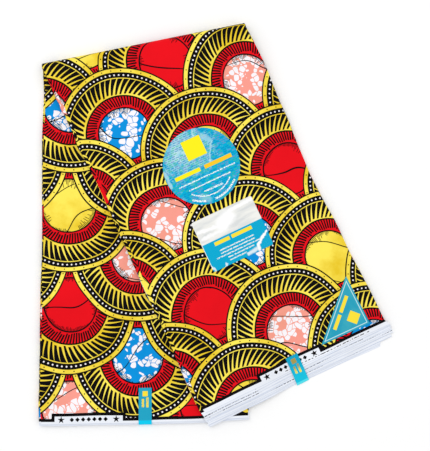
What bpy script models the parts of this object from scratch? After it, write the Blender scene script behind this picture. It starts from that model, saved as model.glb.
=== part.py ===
"""African print cotton: one six yard length, folded to a stack of layers and then once over its middle.

The whole length is folded to and fro into a flat strip of seventeen layers, with a selvedge at each end
of the strip. The strip then folds over on a slanting line, so the front half lies turned on the back half.
Lengths are metres, +Z is up, +Y points to the folded end and the stack lies on Z = 0.

A point of the strip has three sizes: across it, along it from the fold's axis, and its depth, which is
measured from the outermost layer. Depth 0 lies under the back half and on top of the front half.
"""
import math

import bmesh
import bpy
import numpy as np

MM = 0.001

# The cloth
CLOTH_LENGTH = 6 * 0.9144
LAYERS = 17
STRIP_WIDTH = CLOTH_LENGTH / LAYERS
BACK_LENGTH = 551.3 * MM
FRONT_LENGTH = 618.0 * MM

# The stack's thickness, from the outermost layer inwards
STACK = 7.6 * MM
WALL = 1.0 * MM
SEAM_GAP = 0.3 * MM
HIDDEN_DEPTHS = (WALL + SEAM_GAP, STACK - WALL - SEAM_GAP)
RIDGES = 6
REST_GAP = 0.3 * MM

# The fold: its axis in plan, and the small loop that the innermost layer keeps open
FOLD_SLOPE = math.radians(12.56)
FOLD_SKEW = math.radians(12.50)
LOOP_HEIGHT = 2.4 * MM
LOOP_CLOSES = 60 * MM
AXIS_LEFT_END = np.array((-277.9, 239.4)) * MM
AXIS_HEIGHT = STACK + LOOP_HEIGHT / 2

# Where the front half hangs over the back half's edge and sinks to the floor
DRAPE_START = 14 * MM
DRAPE_RUN = 66 * MM

# The mesh: rows along the strip, turns round the fold and columns across the strip
BACK_ROWS = 5
FRONT_ROWS = 20
FOLD_TURNS = 6
INNER_COLUMNS = 12
LEFT_BORDER = 14 * MM
RIGHT_BORDER = 15 * MM
BACK_BORDER = 16 * MM
FRONT_BORDER = 27 * MM
SHARP_ANGLE = math.radians(35)

# How far each edge lies inside a straight strip. Columns: distance from the fold's axis, inset, in mm
BACK_LEFT_EDGE = np.array((
    (0, 1.0), (40, 3.0), (80, 2.0), (120, 0.8), (200, 1.0), (250, 2.6), (300, 1.4),
    (350, 0.0), (430, 0.0), (490, -1.0), (515, -2.2), (551, 0.0),
)) * MM
BACK_RIGHT_EDGE = np.array(((0, 1.0), (300, 2.0), (551, 0.0))) * MM
FRONT_LEFT_EDGE = np.array((
    (0, 1.0), (60, 1.8), (105, 2.0), (140, -0.6), (196, 2.8), (230, 2.6), (290, 0.2),
    (400, -0.4), (480, -1.0), (555, -3.0), (590, -3.4), (618, -1.0),
)) * MM
FRONT_RIGHT_EDGE = np.array((
    (0, 0.5), (70, -2.0), (110, 0.5), (150, 1.5), (190, 1.5), (235, 5.2), (295, 7.0),
    (335, 6.4), (385, 3.4), (465, 2.4), (540, 0.2), (590, -0.6), (618, -2.2),
)) * MM
# The innermost layer slid sideways in the front half
SLID_RIGHT_EDGE = np.array(((0, 2.0), (380, 4.0), (540, 9.0), (618, 12.0))) * MM
# How much further out the selvedges lie, as they aren't quite square. Columns: size across, length, in mm
BACK_TURN = np.array(((0, 0.0), (175, 0.8), (250, 0.0), (323, -3.4))) * MM
FRONT_TURN = np.array(((0, 0.0), (150, 1.4), (323, 6.2))) * MM
# The outermost layer's share of the front half's turn
OUTER_TURN_SHARE = 0.35

# How far the innermost and outermost layers lie inside the folds between them
INNER_LEFT_STEP = 1.6 * MM
INNER_BACK_STEP = 1.4 * MM
OUTER_LEFT_STEP = 5.2 * MM
OUTER_LEFT_STEP_STARTS = 90 * MM
UNDER_STEP = 1.2 * MM

# The folded edges: a ridge for each bundle of layers, with a groove above and below it
GROOVE = 2.2 * MM
RIDGE_SHOULDER = 0.32
CAP_INSET = 1.1 * MM
UNEVEN = 0.7 * MM
UNEVEN_LENGTH = 140 * MM
UNEVEN_LENGTH_STEP = 23 * MM
UNEVEN_TURN = 2.1
EDGE_ROUND = 0.35 * MM

# The pressed-on paper and film labels, in across and along sizes on the front half
LABEL_GAP = 0.35 * MM
LABEL_THICKNESS = 0.5 * MM
ROUND_CENTRE = (162.2 * MM, 243.8 * MM)
ROUND_RADIUS = 61 * MM
ROUND_SEGMENTS = 28
CARD_ACROSS = (108.6 * MM, 212.9 * MM)
CARD_ALONG = (318.6 * MM, 403.1 * MM)
CARD_CORNER = 3 * MM
CARD_CORNER_SEGMENTS = 3
CORNER_LABEL_ACROSS = (216.2 * MM, 298.4 * MM)
CORNER_LABEL_ALONG = (499.8 * MM, 581.6 * MM)
CORNER_LABEL_CORNER = 2 * MM
CUTTER_HEIGHT = 40 * MM
BAND_GAP = 0.6 * MM
FRONT_BAND_ACROSS = (152.8 * MM, 173.4 * MM)
FRONT_BAND_START = 574 * MM
BACK_BAND_ACROSS = (151.4 * MM, 171.6 * MM)
BACK_BAND_START = 497.6 * MM
BAND_LIP = 1.6 * MM
BAND_FLOOR_GAP = 0.6 * MM

# Plan directions: along the fold, away from it, and each half's own across and along
FOLD_LINE = np.array((math.cos(FOLD_SLOPE), math.sin(FOLD_SLOPE)))
FOLD_NORMAL = np.array((math.sin(FOLD_SLOPE), -math.cos(FOLD_SLOPE)))
BACK_ALONG = FOLD_NORMAL * math.cos(FOLD_SKEW) - FOLD_LINE * math.sin(FOLD_SKEW)
BACK_ACROSS = FOLD_LINE * math.cos(FOLD_SKEW) + FOLD_NORMAL * math.sin(FOLD_SKEW)
FRONT_ALONG = FOLD_NORMAL * math.cos(FOLD_SKEW) + FOLD_LINE * math.sin(FOLD_SKEW)
FRONT_ACROSS = FOLD_LINE * math.cos(FOLD_SKEW) - FOLD_NORMAL * math.sin(FOLD_SKEW)


def mix(start, end, share):
    """The value that lies a share of the way from start to end."""
    return start + (end - start) * share


def ease(share):
    """A share eased at both ends, 0 below 0 and 1 above 1."""
    share = np.clip(share, 0, 1)
    return share * share * (3 - 2 * share)


def in_plan(across, along, across_direction, along_direction):
    """The plan point of a half of the strip, from the fold axis's left end."""
    sideways = np.multiply.outer(across, across_direction)
    lengthways = np.multiply.outer(along, along_direction)
    return AXIS_LEFT_END + sideways + lengthways


def back_points(across, along, depth):
    """The back half lies flat: a point's height is its depth."""
    plan = in_plan(across, along, BACK_ACROSS, BACK_ALONG)
    height = np.broadcast_to(depth, np.shape(across))
    return np.concatenate((plan, height[..., None]), axis=-1)


def front_points(across, along, depth):
    """The front half lies on the back half, closes its loop and sinks to the floor past the back's edge."""
    plan = in_plan(across, along, FRONT_ACROSS, FRONT_ALONG)
    from_fold = (plan - AXIS_LEFT_END) @ FOLD_NORMAL
    past_edge = (plan - AXIS_LEFT_END) @ BACK_ACROSS - STRIP_WIDTH
    closing = (LOOP_HEIGHT - REST_GAP) * ease(from_fold / LOOP_CLOSES)
    drape = (STACK + REST_GAP) * ease((past_edge - DRAPE_START) / DRAPE_RUN)
    height = 2 * AXIS_HEIGHT - depth - closing - drape
    return np.concatenate((plan, height[..., None]), axis=-1)


def inner_columns():
    """The across sizes that every layer's mesh shares."""
    return np.linspace(LEFT_BORDER, STRIP_WIDTH - RIGHT_BORDER, INNER_COLUMNS)


def on_front_panel(across, along, depth):
    """Points on the front half's flat facets, between the two columns that lie beside each."""
    shared = inner_columns()
    before = np.clip(np.searchsorted(shared, across) - 1, 0, INNER_COLUMNS - 2)
    share = (across - shared[before]) / (shared[before + 1] - shared[before])
    left = front_points(shared[before], along, depth)
    right = front_points(shared[before + 1], along, depth)
    return mix(left, right, share[..., None])


def fold_points(across, turn, depth):
    """Round the fold each layer is half a circle about the axis. The turn is 0 below and 1 above."""
    radius = AXIS_HEIGHT - depth
    angle = math.pi * turn
    plan = AXIS_LEFT_END + np.multiply.outer(across / math.cos(FOLD_SKEW), FOLD_LINE)
    plan = plan - radius * math.sin(angle) * FOLD_NORMAL
    height = np.full(np.shape(across), AXIS_HEIGHT - radius * math.cos(angle))
    return np.concatenate((plan, height[..., None]), axis=-1)


def front_reach(depth):
    """A layer further out goes round a larger half circle, so it ends that much short."""
    return FRONT_LENGTH - math.pi * (STACK - depth)


def end_turn(half, across, bundle):
    """How much further out a bundle's selvedge lies than if it were square to the strip."""
    if half == "back":
        return np.interp(across, BACK_TURN[:, 0], BACK_TURN[:, 1])
    share = mix(OUTER_TURN_SHARE, 1, bundle / STACK)
    return share * np.interp(across, FRONT_TURN[:, 0], FRONT_TURN[:, 1])


def level(depth, bundle, left=0.0, right=0.0, ends=0.0, **changes):
    """One height in a solid: its depth, the depth that its end belongs to, and its insets."""
    made = {
        "depth": depth, "bundle": bundle, "left": left, "right": right,
        "back_end": ends, "front_end": ends,
        "back_left": BACK_LEFT_EDGE, "back_right": BACK_RIGHT_EDGE,
        "front_left": FRONT_LEFT_EDGE, "front_right": FRONT_RIGHT_EDGE, "step_left": 0.0,
    }
    made.update(changes)
    return made


def unevenness(position, bundle):
    """A slow wave along an edge, of its own length and start for each bundle of layers."""
    number = bundle / WALL
    length = UNEVEN_LENGTH + UNEVEN_LENGTH_STEP * math.sin(number)
    return UNEVEN * np.sin(2 * math.pi * position / length + UNEVEN_TURN * number)


def columns(row, here):
    """The across sizes of one row: shared columns inside, and the level's own two edges outside."""
    half, distance = row["half"], row["distance"]
    wave = unevenness(distance, here["bundle"])
    tables = {side: here[half + "_" + side] for side in ("left", "right")}
    inset = {side: np.interp(abs(distance), table[:, 0], table[:, 1]) for side, table in tables.items()}
    step = here["step_left"] * ease(distance / OUTER_LEFT_STEP_STARTS) if half == "front" else 0.0
    left = here["left"] + inset["left"] + step + wave
    right = STRIP_WIDTH - here["right"] - inset["right"] - wave
    return np.concatenate(((left,), inner_columns(), (right,)))


def back_rows(axis_gap=0.0):
    """Rows of the back half, from its selvedge to the fold's axis."""
    inner = np.linspace(BACK_LENGTH - BACK_BORDER, 0, BACK_ROWS)
    rows = [{"half": "back", "share": None, "distance": BACK_LENGTH, "gap": 0.0}]
    for distance in inner:
        share = 1 - distance / (BACK_LENGTH - BACK_BORDER)
        rows.append({"half": "back", "share": share, "distance": distance, "gap": axis_gap * share})
    return rows


def front_rows(axis_gap=0.0):
    """Rows of the front half, from the fold's axis to its selvedge."""
    rows = []
    for distance in np.linspace(0, FRONT_LENGTH - FRONT_BORDER, FRONT_ROWS):
        share = distance / (FRONT_LENGTH - FRONT_BORDER)
        rows.append({"half": "front", "share": share, "distance": distance, "gap": axis_gap * (1 - share)})
    rows.append({"half": "front", "share": None, "distance": FRONT_LENGTH, "gap": 0.0})
    return rows


def fold_rows(first=1, last=FOLD_TURNS - 1):
    """Rows round the fold, as equal turns."""
    turns = np.arange(first, last + 1) / FOLD_TURNS
    return [{"half": "back" if turn < 0.5 else "front", "turn": turn, "distance": 0.0} for turn in turns]


def row_points(row, here):
    """The points of one row at one level."""
    across = columns(row, here)
    if "turn" in row:
        return fold_points(across, row["turn"], here["depth"])
    axis = across * math.tan(FOLD_SKEW)
    outwards = unevenness(across, here["bundle"]) + end_turn(row["half"], across, here["bundle"])
    if row["half"] == "back":
        border = BACK_LENGTH - BACK_BORDER
        along = mix(border, -axis, row["share"] or 0.0) + row["gap"]
        if row["share"] is None:
            along = BACK_LENGTH - here["back_end"] + outwards
        return back_points(across, along, here["depth"])
    border = FRONT_LENGTH - FRONT_BORDER
    along = mix(axis, border, row["share"] or 0.0) + row["gap"]
    if row["share"] is None:
        along = front_reach(here["bundle"]) - here["front_end"] + outwards
    return front_points(across, along, here["depth"])


def border_indices(rows, count):
    """The grid's outline as flat indices, once round."""
    grid = np.arange(rows * count).reshape(rows, count)
    return np.concatenate((grid[0, :-1], grid[:-1, -1], grid[-1, :0:-1], grid[:0:-1, 0]))


def add_object(name, mesh, colour, roughness):
    """A named object with its own painted material, smooth but for its sharp edges."""
    mesh.shade_smooth()
    mesh.set_sharp_from_angle(angle=SHARP_ANGLE)
    made = bpy.data.objects.new(name, mesh)
    bpy.context.collection.objects.link(made)
    paint = bpy.data.materials.new(name)
    paint.use_nodes = True
    shader = paint.node_tree.nodes["Principled BSDF"]
    shader.inputs["Base Color"].default_value = (*colour, 1)
    shader.inputs["Roughness"].default_value = roughness
    made.data.materials.append(paint)
    return made


def layered_solid(name, rows, levels, colour, roughness=0.7):
    """A closed solid between its first and last level, its rim carried through every level between."""
    grids = [np.array([row_points(row, here) for row in rows]) for here in levels]
    count = grids[0].shape[1]
    rim = border_indices(len(rows), count)
    cells = []
    for row in range(len(rows) - 1):
        for column in range(count - 1):
            corner = row * count + column
            cells.append((corner, corner + 1, corner + count + 1))
            cells.append((corner, corner + count + 1, corner + count))

    model = bmesh.new()
    first = [model.verts.new(point) for point in grids[0].reshape(-1, 3)]
    last = [model.verts.new(point) for point in grids[-1].reshape(-1, 3)]
    for cell in cells:
        model.faces.new([first[index] for index in reversed(cell)])
        model.faces.new([last[index] for index in cell])
    rings = [[first[index] for index in rim]]
    for grid in grids[1:-1]:
        points = grid.reshape(-1, 3)
        rings.append([model.verts.new(points[index]) for index in rim])
    rings.append([last[index] for index in rim])
    for lower, upper in zip(rings, rings[1:]):
        for here in range(len(rim)):
            after = (here + 1) % len(rim)
            model.faces.new((lower[here], lower[after], upper[after]))
            model.faces.new((lower[here], upper[after], upper[here]))
    bmesh.ops.recalc_face_normals(model, faces=model.faces)
    mesh = bpy.data.meshes.new(name)
    model.to_mesh(mesh)
    model.free()
    return add_object(name, mesh, colour, roughness)


def wall_levels(depth, **changes):
    """A wall's two faces and the rounded edge between them."""
    middle = depth + WALL / 2
    soft = {"left": EDGE_ROUND, "right": EDGE_ROUND, "ends": EDGE_ROUND}
    return [
        level(depth, middle, **soft, **changes),
        level(middle, middle, **changes),
        level(depth + WALL, middle, **soft, **changes),
    ]


def hidden_levels():
    """Shoulders of each ridge with a groove between two, and a cap at each side of the stack."""
    low, high = HIDDEN_DEPTHS
    pitch = (high - low) / RIDGES
    made = [level(low, low + pitch / 2, left=CAP_INSET, right=CAP_INSET, ends=CAP_INSET)]
    for ridge in range(RIDGES):
        middle = low + pitch * (ridge + 0.5)
        if ridge:
            between = middle - pitch / 2
            made.append(level(between, middle - pitch, left=GROOVE, right=GROOVE, ends=GROOVE))
        for side in (-RIDGE_SHOULDER, RIDGE_SHOULDER):
            made.append(level(middle + pitch * side, middle))
    made.append(level(high, high - pitch / 2, left=CAP_INSET, right=CAP_INSET, ends=CAP_INSET))
    return made


def prism(name, outline):
    """A tall cutter over the front half, from an outline in across and along sizes."""
    across, along = np.array(outline).T
    plan = in_plan(across, along, FRONT_ACROSS, FRONT_ALONG)
    model = bmesh.new()
    floor = [model.verts.new((*point, -STACK)) for point in plan]
    face = model.faces.new(floor)
    raised = bmesh.ops.extrude_face_region(model, geom=[face])["geom"]
    corners = [item for item in raised if isinstance(item, bmesh.types.BMVert)]
    bmesh.ops.translate(model, verts=corners, vec=(0, 0, CUTTER_HEIGHT))
    bmesh.ops.recalc_face_normals(model, faces=model.faces)
    mesh = bpy.data.meshes.new(name)
    model.to_mesh(mesh)
    model.free()
    made = bpy.data.objects.new(name, mesh)
    bpy.context.collection.objects.link(made)
    made.hide_render = True
    made.display_type = "WIRE"
    return made


def label(name, outline, colour):
    """A label made from the front layer's own points, moved out, and cut to its outline."""
    faces = (-LABEL_GAP - LABEL_THICKNESS, -LABEL_GAP)
    levels = [level(depth, WALL / 2, step_left=OUTER_LEFT_STEP) for depth in faces]
    made = layered_solid(name, front_rows(), levels, colour, 0.3)
    cutter = prism(name + "_outline", outline)
    cut = made.modifiers.new("outline", "BOOLEAN")
    cut.operation = "INTERSECT"
    cut.solver = "EXACT"
    cut.object = cutter
    return made


def rounded(corners, radius, segments):
    """An outline with an arc at each corner, tangent to both of its sides."""
    points = []
    count = len(corners)
    for index in range(count):
        corner = np.array(corners[index])
        before = np.array(corners[index - 1]) - corner
        after = np.array(corners[(index + 1) % count]) - corner
        before = before / np.linalg.norm(before)
        after = after / np.linalg.norm(after)
        half_angle = math.acos(float(before @ after)) / 2
        tangent = radius / math.tan(half_angle)
        middle = (before + after) / np.linalg.norm(before + after)
        centre = corner + middle * radius / math.sin(half_angle)
        start = corner + before * tangent - centre
        end = corner + after * tangent - centre
        turn = math.atan2(start[0] * end[1] - start[1] * end[0], start @ end)
        for step in range(segments + 1):
            angle = turn * step / segments
            across = start[0] * math.cos(angle) - start[1] * math.sin(angle)
            along = start[0] * math.sin(angle) + start[1] * math.cos(angle)
            points.append((centre[0] + across, centre[1] + along))
    return points


def band(name, place, across_sizes, profile, colour):
    """A strip of film bent over the selvedges: a profile of along and depth sizes, carried across."""
    left, right = across_sizes
    shared = [column for column in inner_columns() if left < column < right]
    across = np.array((left, *shared, right))
    path = np.array(profile)
    step = np.gradient(path, axis=0)
    normal = np.stack((step[:, 1], -step[:, 0]), axis=1)
    normal = normal / np.linalg.norm(normal, axis=1)[:, None]
    model = bmesh.new()
    skins = []
    for offset in (0.0, LABEL_THICKNESS):
        moved = path + normal * offset
        skin = []
        for along, depth in moved:
            points = place(across, np.full(len(across), along), depth)
            skin.append([model.verts.new(point) for point in points])
        skins.append(skin)
    under, over = skins
    for row in range(len(path) - 1):
        for column in range(len(across) - 1):
            for skin in skins:
                here, there = skin[row], skin[row + 1]
                model.faces.new((here[column], here[column + 1], there[column + 1], there[column]))
        for side in (0, -1):
            model.faces.new((under[row][side], under[row + 1][side], over[row + 1][side], over[row][side]))
    for row in (0, -1):
        for column in range(len(across) - 1):
            model.faces.new((
                under[row][column], under[row][column + 1], over[row][column + 1], over[row][column],
            ))
    bmesh.ops.recalc_face_normals(model, faces=model.faces)
    mesh = bpy.data.meshes.new(name)
    model.to_mesh(mesh)
    model.free()
    return add_object(name, mesh, colour, 0.25)


def cloth():
    """The five stretches of the one length of cloth."""
    print_yellow = (0.84, 0.65, 0.06)
    print_red = (0.80, 0.02, 0.03)
    selvedge_white = (0.80, 0.82, 0.86)
    outer = wall_levels(0.0, step_left=OUTER_LEFT_STEP)
    layered_solid("outer_front_stretch", fold_rows(first=0) + front_rows(), outer, print_yellow)
    under = wall_levels(0.0)
    for here in under:
        for side in ("left", "right", "back_end"):
            here[side] += UNDER_STEP
    layered_solid("outer_back_stretch", back_rows(SEAM_GAP), under, print_red)
    layered_solid("folded_layers", back_rows() + fold_rows() + front_rows(), hidden_levels(), selvedge_white)
    inner = wall_levels(STACK - WALL)
    for here in inner:
        here["left"] += INNER_LEFT_STEP
        here["back_end"] += INNER_BACK_STEP
    layered_solid("inner_back_stretch", back_rows() + fold_rows(last=FOLD_TURNS), inner, print_red)
    slid = wall_levels(STACK - WALL, front_right=SLID_RIGHT_EDGE)
    layered_solid("inner_front_stretch", front_rows(SEAM_GAP), slid, selvedge_white)


def labels():
    """Three labels on the front half and the two film bands over the selvedges."""
    teal = (0.02, 0.42, 0.58)
    card_white = (0.75, 0.78, 0.78)
    centre = np.array(ROUND_CENTRE)
    angles = np.arange(ROUND_SEGMENTS) * 2 * math.pi / ROUND_SEGMENTS
    circle = centre + ROUND_RADIUS * np.stack((np.cos(angles), np.sin(angles)), axis=1)
    label("round_label", circle, teal)
    left, right = CARD_ACROSS
    top, bottom = CARD_ALONG
    corners = ((left, top), (right, top), (right, bottom), (left, bottom))
    card = rounded(corners, CARD_CORNER, CARD_CORNER_SEGMENTS)
    label("card_label", card, card_white)
    left, right = CORNER_LABEL_ACROSS
    top, bottom = CORNER_LABEL_ALONG
    triangle = rounded(((right, top), (right, bottom), (left, bottom)), CORNER_LABEL_CORNER, 1)
    label("corner_label", triangle, teal)

    above = -BAND_GAP
    selvedge = front_reach(WALL / 2) + UNEVEN
    last = FRONT_LENGTH + BAND_GAP + end_turn("front", FRONT_BAND_ACROSS[1], STACK)
    front_profile = (
        (FRONT_BAND_START, above),
        (selvedge, above),
        (last + UNEVEN, STACK - WALL - BAND_GAP),
        (last + BAND_GAP + UNEVEN, STACK - BAND_FLOOR_GAP),
    )
    band("front_band", on_front_panel, FRONT_BAND_ACROSS, front_profile, teal)
    top = STACK + BAND_GAP
    past = BACK_LENGTH + UNEVEN + BAND_GAP + end_turn("back", BACK_BAND_ACROSS[1], STACK)
    back_profile = (
        (BACK_BAND_START, top),
        (past - BAND_LIP, top),
        (past, top - BAND_LIP),
        (past, BAND_FLOOR_GAP),
    )
    band("back_band", back_points, BACK_BAND_ACROSS, back_profile[::-1], teal)


def build():
    """The whole folded length, on an empty scene."""
    for old in list(bpy.data.objects):
        bpy.data.objects.remove(old, do_unlink=True)
    cloth()
    labels()


build()
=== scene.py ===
"""Wax print cotton, six yards folded to seventeen layers and once over its middle, with its labels.

Every layer is a stretch of the one length: a grid of rows along the strip and columns across it, which
ends in the rounded fold that turns it into the next layer. Metres, +Z up, as in the frame.
"""
import math

import bpy
import numpy as np
from mathutils import Matrix, Vector


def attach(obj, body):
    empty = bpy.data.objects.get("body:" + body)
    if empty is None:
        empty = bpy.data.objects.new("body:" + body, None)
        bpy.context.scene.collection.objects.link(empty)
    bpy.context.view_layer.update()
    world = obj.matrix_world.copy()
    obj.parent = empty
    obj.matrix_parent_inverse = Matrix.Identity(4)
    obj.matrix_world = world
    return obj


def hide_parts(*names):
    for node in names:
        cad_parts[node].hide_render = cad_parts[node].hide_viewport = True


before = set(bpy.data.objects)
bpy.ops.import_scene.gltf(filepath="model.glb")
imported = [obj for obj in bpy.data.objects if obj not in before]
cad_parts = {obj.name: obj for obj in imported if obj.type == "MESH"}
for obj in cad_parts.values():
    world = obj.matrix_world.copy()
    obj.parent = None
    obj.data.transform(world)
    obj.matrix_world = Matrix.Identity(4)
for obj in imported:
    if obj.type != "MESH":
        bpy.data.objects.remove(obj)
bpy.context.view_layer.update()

MM = 0.001

# The cloth and the strip that it is folded to
CLOTH_LENGTH = 6 * 0.9144
LAYERS = 17
STRIP_WIDTH = CLOTH_LENGTH / LAYERS
BACK_LENGTH = 551.3 * MM
FRONT_LENGTH = 618.0 * MM
STACK = 7.6 * MM
LAYER_STEP = STACK / LAYERS
COTTON = 0.28 * MM
REST_GAP = 0.3 * MM

# The fold: its axis in plan, and the small loop that the innermost layer keeps open
FOLD_SLOPE = math.radians(12.56)
FOLD_SKEW = math.radians(12.50)
LOOP_HEIGHT = 2.4 * MM
LOOP_CLOSES = 60 * MM
AXIS_LEFT_END = np.array((-277.9, 239.4)) * MM
AXIS_HEIGHT = STACK + LOOP_HEIGHT / 2
CLOTH_WIDTH = BACK_LENGTH + FRONT_LENGTH + math.pi * LOOP_HEIGHT / 2

# Where the front half hangs over the back half's edge and sinks to the floor
DRAPE_START = 14 * MM
DRAPE_RUN = 66 * MM

# Plan directions: along the fold, away from it, and each half's own across and along
FOLD_LINE = np.array((math.cos(FOLD_SLOPE), math.sin(FOLD_SLOPE)))
FOLD_NORMAL = np.array((math.sin(FOLD_SLOPE), -math.cos(FOLD_SLOPE)))
BACK_ALONG = FOLD_NORMAL * math.cos(FOLD_SKEW) - FOLD_LINE * math.sin(FOLD_SKEW)
BACK_ACROSS = FOLD_LINE * math.cos(FOLD_SKEW) + FOLD_NORMAL * math.sin(FOLD_SKEW)
FRONT_ALONG = FOLD_NORMAL * math.cos(FOLD_SKEW) + FOLD_LINE * math.sin(FOLD_SKEW)
FRONT_ACROSS = FOLD_LINE * math.cos(FOLD_SKEW) - FOLD_NORMAL * math.sin(FOLD_SKEW)

# How far each edge lies inside a straight strip. Columns: distance from the fold's axis, inset, in mm
BACK_LEFT_EDGE = np.array((
    (0, 1.0), (40, 3.0), (80, 2.0), (120, 0.8), (200, 1.0), (250, 2.6), (300, 1.4),
    (350, 0.0), (430, 0.0), (490, -1.0), (515, -2.2), (551, 0.0),
)) * MM
BACK_RIGHT_EDGE = np.array(((0, 1.0), (300, 2.0), (551, 0.0))) * MM
FRONT_LEFT_EDGE = np.array((
    (0, 1.0), (60, 1.8), (105, 2.0), (140, -0.6), (196, 2.8), (230, 2.6), (290, 0.2),
    (400, -0.4), (480, -1.0), (555, -3.0), (590, -3.4), (618, -1.0),
)) * MM
FRONT_RIGHT_EDGE = np.array((
    (0, 0.5), (70, -2.0), (110, 0.5), (150, 1.5), (190, 1.5), (235, 5.2), (295, 7.0),
    (335, 6.4), (385, 3.4), (465, 2.4), (540, 0.2), (585, -0.8), (600, -2.4), (618, -7.0),
)) * MM
# How much further in the innermost layers slid at the front half's right edge, in mm
SLIDE = np.array(((0, 1.0), (380, 1.5), (500, 5.0), (560, 12.0), (618, 28.0))) * MM
# How much further out the selvedges lie, as they aren't quite square. Columns: size across, length, in mm
BACK_TURN = np.array(((0, 0.0), (175, 0.8), (250, 0.0), (323, -3.4))) * MM
FRONT_TURN = np.array(((0, 0.0), (150, 1.4), (323, 6.2))) * MM
# The outermost layer's share of the front half's turn, and how far into the cloth a turn reaches
OUTER_TURN_SHARE = 0.35
TURN_REACH = 200 * MM
# How far each way an edge's table is averaged, and over how many places
EDGE_SOFTNESS = 9 * MM
EDGE_SAMPLES = 7

# How far inside the edge each fold of the accordion lies, from the outermost, in mm, and its share of
# the slide. Columns: back left, front left, back right, front right, slide
FOLD_STEPS = np.array((
    (1.2, 5.4, 1.2, 0.0, 0.0),
    (0.5, 0.0, 0.2, 0.9, 0.0),
    (0.0, 1.5, 0.8, 0.3, 0.0),
    (0.9, 0.6, 0.1, 1.2, 0.0),
    (0.3, 1.9, 0.6, 0.4, 0.0),
    (0.0, 0.8, 0.0, 1.4, 0.1),
    (0.7, 1.6, 0.9, 0.6, 0.2),
    (0.1, 0.5, 0.3, 1.0, 0.9),
    (1.8, 1.2, 0.5, 0.7, 1.0),
))
OUTER_STEP_STARTS = 90 * MM

# Each layer's shift along the strip towards the front, in mm, so that its selvedges step
LAYER_SHIFTS = np.array((
    0.0, 1.4, 0.2, -1.6, 1.1, 0.4, -1.8, 0.9, 1.5, -1.2, -0.6, 1.6, 1.5, -1.9, 0.8, 1.3, 0.6,
)) * MM
# How much a layer's end turns from one edge to the other, as a slope, by a wave over the layers
LAYER_TURN = 0.0045
LAYER_TURN_STEP = 2.4
LAYER_TURN_START = 1

# The side folds: how much rounder than the layers' spacing, and over what width they part
NOSE_ROUNDNESS = 1.3
NOSE_TURNS = 5

# Slow waves of the folded edges and of the selvedges, and the small puckers at the front's upper left
UNEVEN = 0.6 * MM
UNEVEN_LENGTH = 140 * MM
UNEVEN_LENGTH_STEP = 23 * MM
UNEVEN_TURN = 2.1
END_UNEVEN = UNEVEN / 2
END_UNEVEN_LENGTH = 0.7 * UNEVEN_LENGTH
PUCKER = 1.1 * MM
PUCKER_LENGTH = 21 * MM
PUCKER_RANGE = (26 * MM, 118 * MM)
PUCKER_TURN = 2
PUCKERED_FOLDS = 3

# The grid: rows along the strip and columns across it
BACK_ROWS = 38
FRONT_ROWS = 66
FOLD_TURNS = 12
END_ROWS = 3
COLUMNS = 30
# How much the front half's rows crowd towards the fold, from 0 for even rows
ROW_CROWDING = 0.45
# The borders, where rows and columns follow each layer's own edges
LEFT_BORDER = 14 * MM
RIGHT_BORDER = 30 * MM
BORDER_COLUMNS = 2
END_BORDER = 30 * MM
# Faces that meet at more than this are shaded apart
SHARP_ANGLE = math.radians(50)

# Long low swells of the stack. Columns: length in metres, direction and start in radians, and share of the
# height
SWELLS = (
    (0.34, 0.4, 0.6, 0.020),
    (0.21, 1.9, 2.2, 0.014),
    (0.13, 2.7, 4.1, 0.008),
    (0.47, 3.6, 1.1, 0.018),
)
# Soft creases pressed into the front half. Columns: across and along of both ends in mm, half width
# in mm, share of the height
CREASES = (
    (6, 34, 96, 92, 7, 0.030),
    (4, 62, 58, 140, 5, -0.024),
    (10, 96, 44, 210, 6, 0.022),
    (300, 96, 214, 150, 8, 0.018),
    (322, 210, 262, 262, 7, 0.020),
    (268, 410, 316, 352, 6, -0.018),
    (40, 468, 128, 500, 9, 0.018),
    (210, 470, 300, 452, 8, 0.016),
)
# The part of a half wave that says how deep a crease is from end to end
CREASE_WAVE = (0.08, 0.92)

# The labels, in across and along sizes on the front half
LABEL_LIFT = 0.42 * MM
PAPER = 0.16 * MM
ROUND_CENTRE = (162.2 * MM, 243.8 * MM)
ROUND_RADIUS = 61 * MM
CARD_ACROSS = (108.6 * MM, 212.9 * MM)
CARD_ALONG = (318.6 * MM, 403.1 * MM)
CARD_CORNER = 3 * MM
CORNER_LABEL = np.array(((297.0, 498.7), (299.2, 582.4), (213.9, 580.2))) * MM
CORNER_ROUND = 0.5 * MM
# A label's rings, the points on its circle, at each corner and on each side, and how much each crinkles
LABEL_RINGS = 16
CIRCLE_POINTS = 96
CORNER_TURNS = 6
SIDE_TURNS = 13
ROUND_CRINKLE = 0.10 * MM
CARD_CRINKLE = 0.06 * MM
CORNER_CRINKLE = 0.08 * MM
# Their crinkles' waves. Columns: length in metres, direction and start in radians
CRINKLES = ((0.017, 0.5, 0.3), (0.026, 1.7, 2.0), (0.041, 2.8, 1.2), (0.012, 2.2, 4.0))

# The film bands, and how they bend down: how far past the selvedges they stand, where they turn, and
# how far the turn and the lip at their end reach
BAND_GAP = 0.6 * MM
FRONT_BAND_ACROSS = (152.8 * MM, 173.4 * MM)
FRONT_BAND_START = 574 * MM
FRONT_BAND_TURN = 2.4 * MM
FRONT_BAND_PAST = 2.2 * MM
FRONT_BAND_SLANT = 1.2 * MM
BACK_BAND_ACROSS = (151.4 * MM, 171.6 * MM)
BACK_BAND_START = 497.6 * MM
BACK_BAND_PAST = 3.2 * MM
BAND_LIP = 1.6 * MM
# Their rows and columns, how often a bend is softened, and their crinkles' height, lengths in metres a
# radian and how far they sway
FILM_ROWS = 70
FILM_COLUMNS = 16
FILM_PASSES = 4
FILM_CRINKLE = 0.12 * MM
FILM_ACROSS = 0.0041
FILM_ALONG = 0.009
FILM_SWAY = 2

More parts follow.
